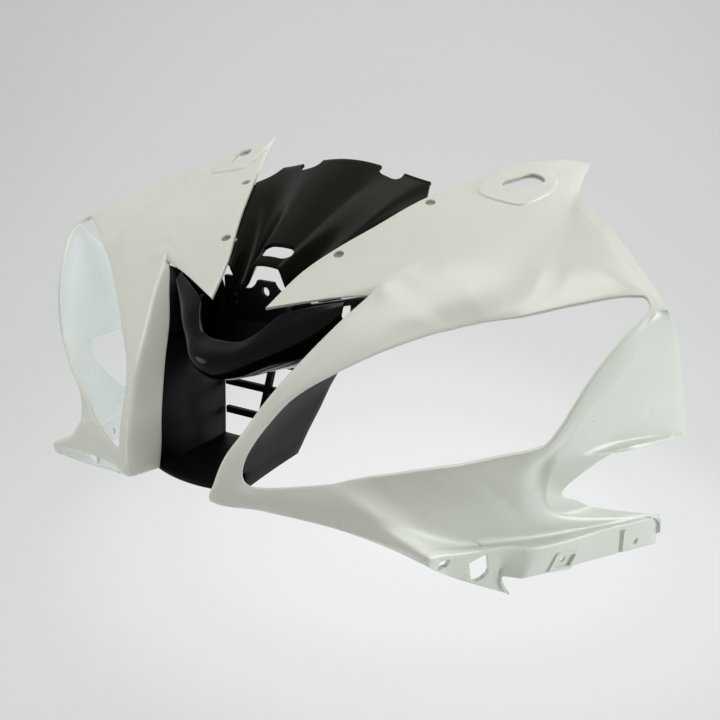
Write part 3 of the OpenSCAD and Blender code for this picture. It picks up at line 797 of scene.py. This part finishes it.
# Backdrop: a floor that curves up into a wall, square to the camera's view. In metres.
FLOOR_Z = -0.60
WALL = 2.2           # from the camera to the wall
WALL_TOP = 3.5
FLOOR_END = -4.0     # how far the floor goes on behind the camera
COVE = 0.6           # radius of the curve between floor and wall
HALF_WIDTH = 6.0
# The floor carries a painted pool of light, an emission that camera, glossy and transmission rays
# see, brightest below the part and darker towards the wall
GLOW = 1.42          # from the camera to the brightest place of the floor
GLOW_SIDE = 0.10
GLOW_REACH = 1.6     # from there to where the backdrop is darkest
GLOW_SHARE = 0.8     # of what the camera sees; the rest takes light and shadow


def stage_point(side, ahead, z):
    a = np.radians(AZIMUTH)
    return (CAMERA[0] + side * np.cos(a) - ahead * np.sin(a),
            CAMERA[1] + side * np.sin(a) + ahead * np.cos(a), z)


def backdrop_object():
    profile = [(FLOOR_END, FLOOR_Z), (0.0, FLOOR_Z)]
    profile += [(WALL - COVE + COVE * np.sin(t), FLOOR_Z + COVE * (1 - np.cos(t)))
                for t in np.linspace(0, np.pi / 2, 25)]
    profile += [(WALL, WALL_TOP)]
    verts = [stage_point(side, ahead, z) for side in (-HALF_WIDTH, HALF_WIDTH)
             for ahead, z in profile]
    m = len(profile)
    mesh = bpy.data.meshes.new("backdrop")
    mesh.from_pydata(verts, [], [(i, i + 1, m + i + 1, m + i) for i in range(m - 1)])
    mesh.polygons.foreach_set("use_smooth", [True] * (m - 1))
    obj = bpy.data.objects.new("backdrop", mesh)
    bpy.context.scene.collection.objects.link(obj)
    return obj


def pale_tint(level, blue=0.0):
    """Linear colour of a screen level, a little cooler where blue is above 0."""
    v = ((level / 255 + 0.055) / 1.055)**2.4
    return (v * (1 - blue), v, v * (1 - blue * 0.35))


def math_node(tree, operation, source, other):
    """Output of a math node; the second input is a link or a number."""
    node = tree.nodes.new("ShaderNodeMath")
    node.operation = operation
    tree.links.new(source, node.inputs[0])
    if isinstance(other, float):
        node.inputs[1].default_value = other
    else:
        tree.links.new(other, node.inputs[1])
    return node.outputs["Value"]


def backdrop_material():
    """Pale paper with a painted pool of light, brightest on the floor below the part, that keeps a
    soft shadow.
    """
    mat, tree, bsdf = new_material("pale_backdrop")
    bsdf.inputs["Roughness"].default_value = 0.9
    bsdf.inputs["Specular IOR Level"].default_value = 0.0
    bsdf.inputs["Base Color"].default_value = (0.80, 0.82, 0.81, 1)
    coord = tree.nodes.new("ShaderNodeTexCoord")
    away = tree.nodes.new("ShaderNodeVectorMath")
    away.operation = "DISTANCE"
    away.inputs[1].default_value = stage_point(GLOW_SIDE, GLOW, FLOOR_Z)
    tree.links.new(coord.outputs["Object"], away.inputs[0])
    span = math_node(tree, "MULTIPLY", away.outputs["Value"], 1 / GLOW_REACH)
    # Painted pool of light: brightest below the part, darker the further away
    glow = ramp(tree, span, [(0.0, pale_tint(246)), (0.18, pale_tint(239, 0.01)),
                             (0.27, pale_tint(230, 0.02)), (0.40, pale_tint(215, 0.02)),
                             (0.63, pale_tint(204, 0.02)), (0.90, pale_tint(188, 0.01))])
    glow.color_ramp.interpolation = "EASE"
    shine = tree.nodes.new("ShaderNodeEmission")
    tree.links.new(glow.outputs["Color"], shine.inputs["Color"])
    path = tree.nodes.new("ShaderNodeLightPath").outputs
    seen = math_node(tree, "MAXIMUM", path["Is Camera Ray"], path["Is Glossy Ray"])
    seen = math_node(tree, "MAXIMUM", seen, path["Is Transmission Ray"])
    share = math_node(tree, "MULTIPLY", seen, GLOW_SHARE)
    blend = tree.nodes.new("ShaderNodeMixShader")
    tree.links.new(share, blend.inputs["Fac"])
    tree.links.new(bsdf.outputs["BSDF"], blend.inputs[1])
    tree.links.new(shine.outputs["Emission"], blend.inputs[2])
    tree.links.new(blend.outputs["Shader"], tree.nodes["Material Output"].inputs["Surface"])
    return mat


backdrop = backdrop_object()
backdrop.data.materials.append(backdrop_material())

view = bpy.context.scene.view_settings
view.view_transform = "Standard"
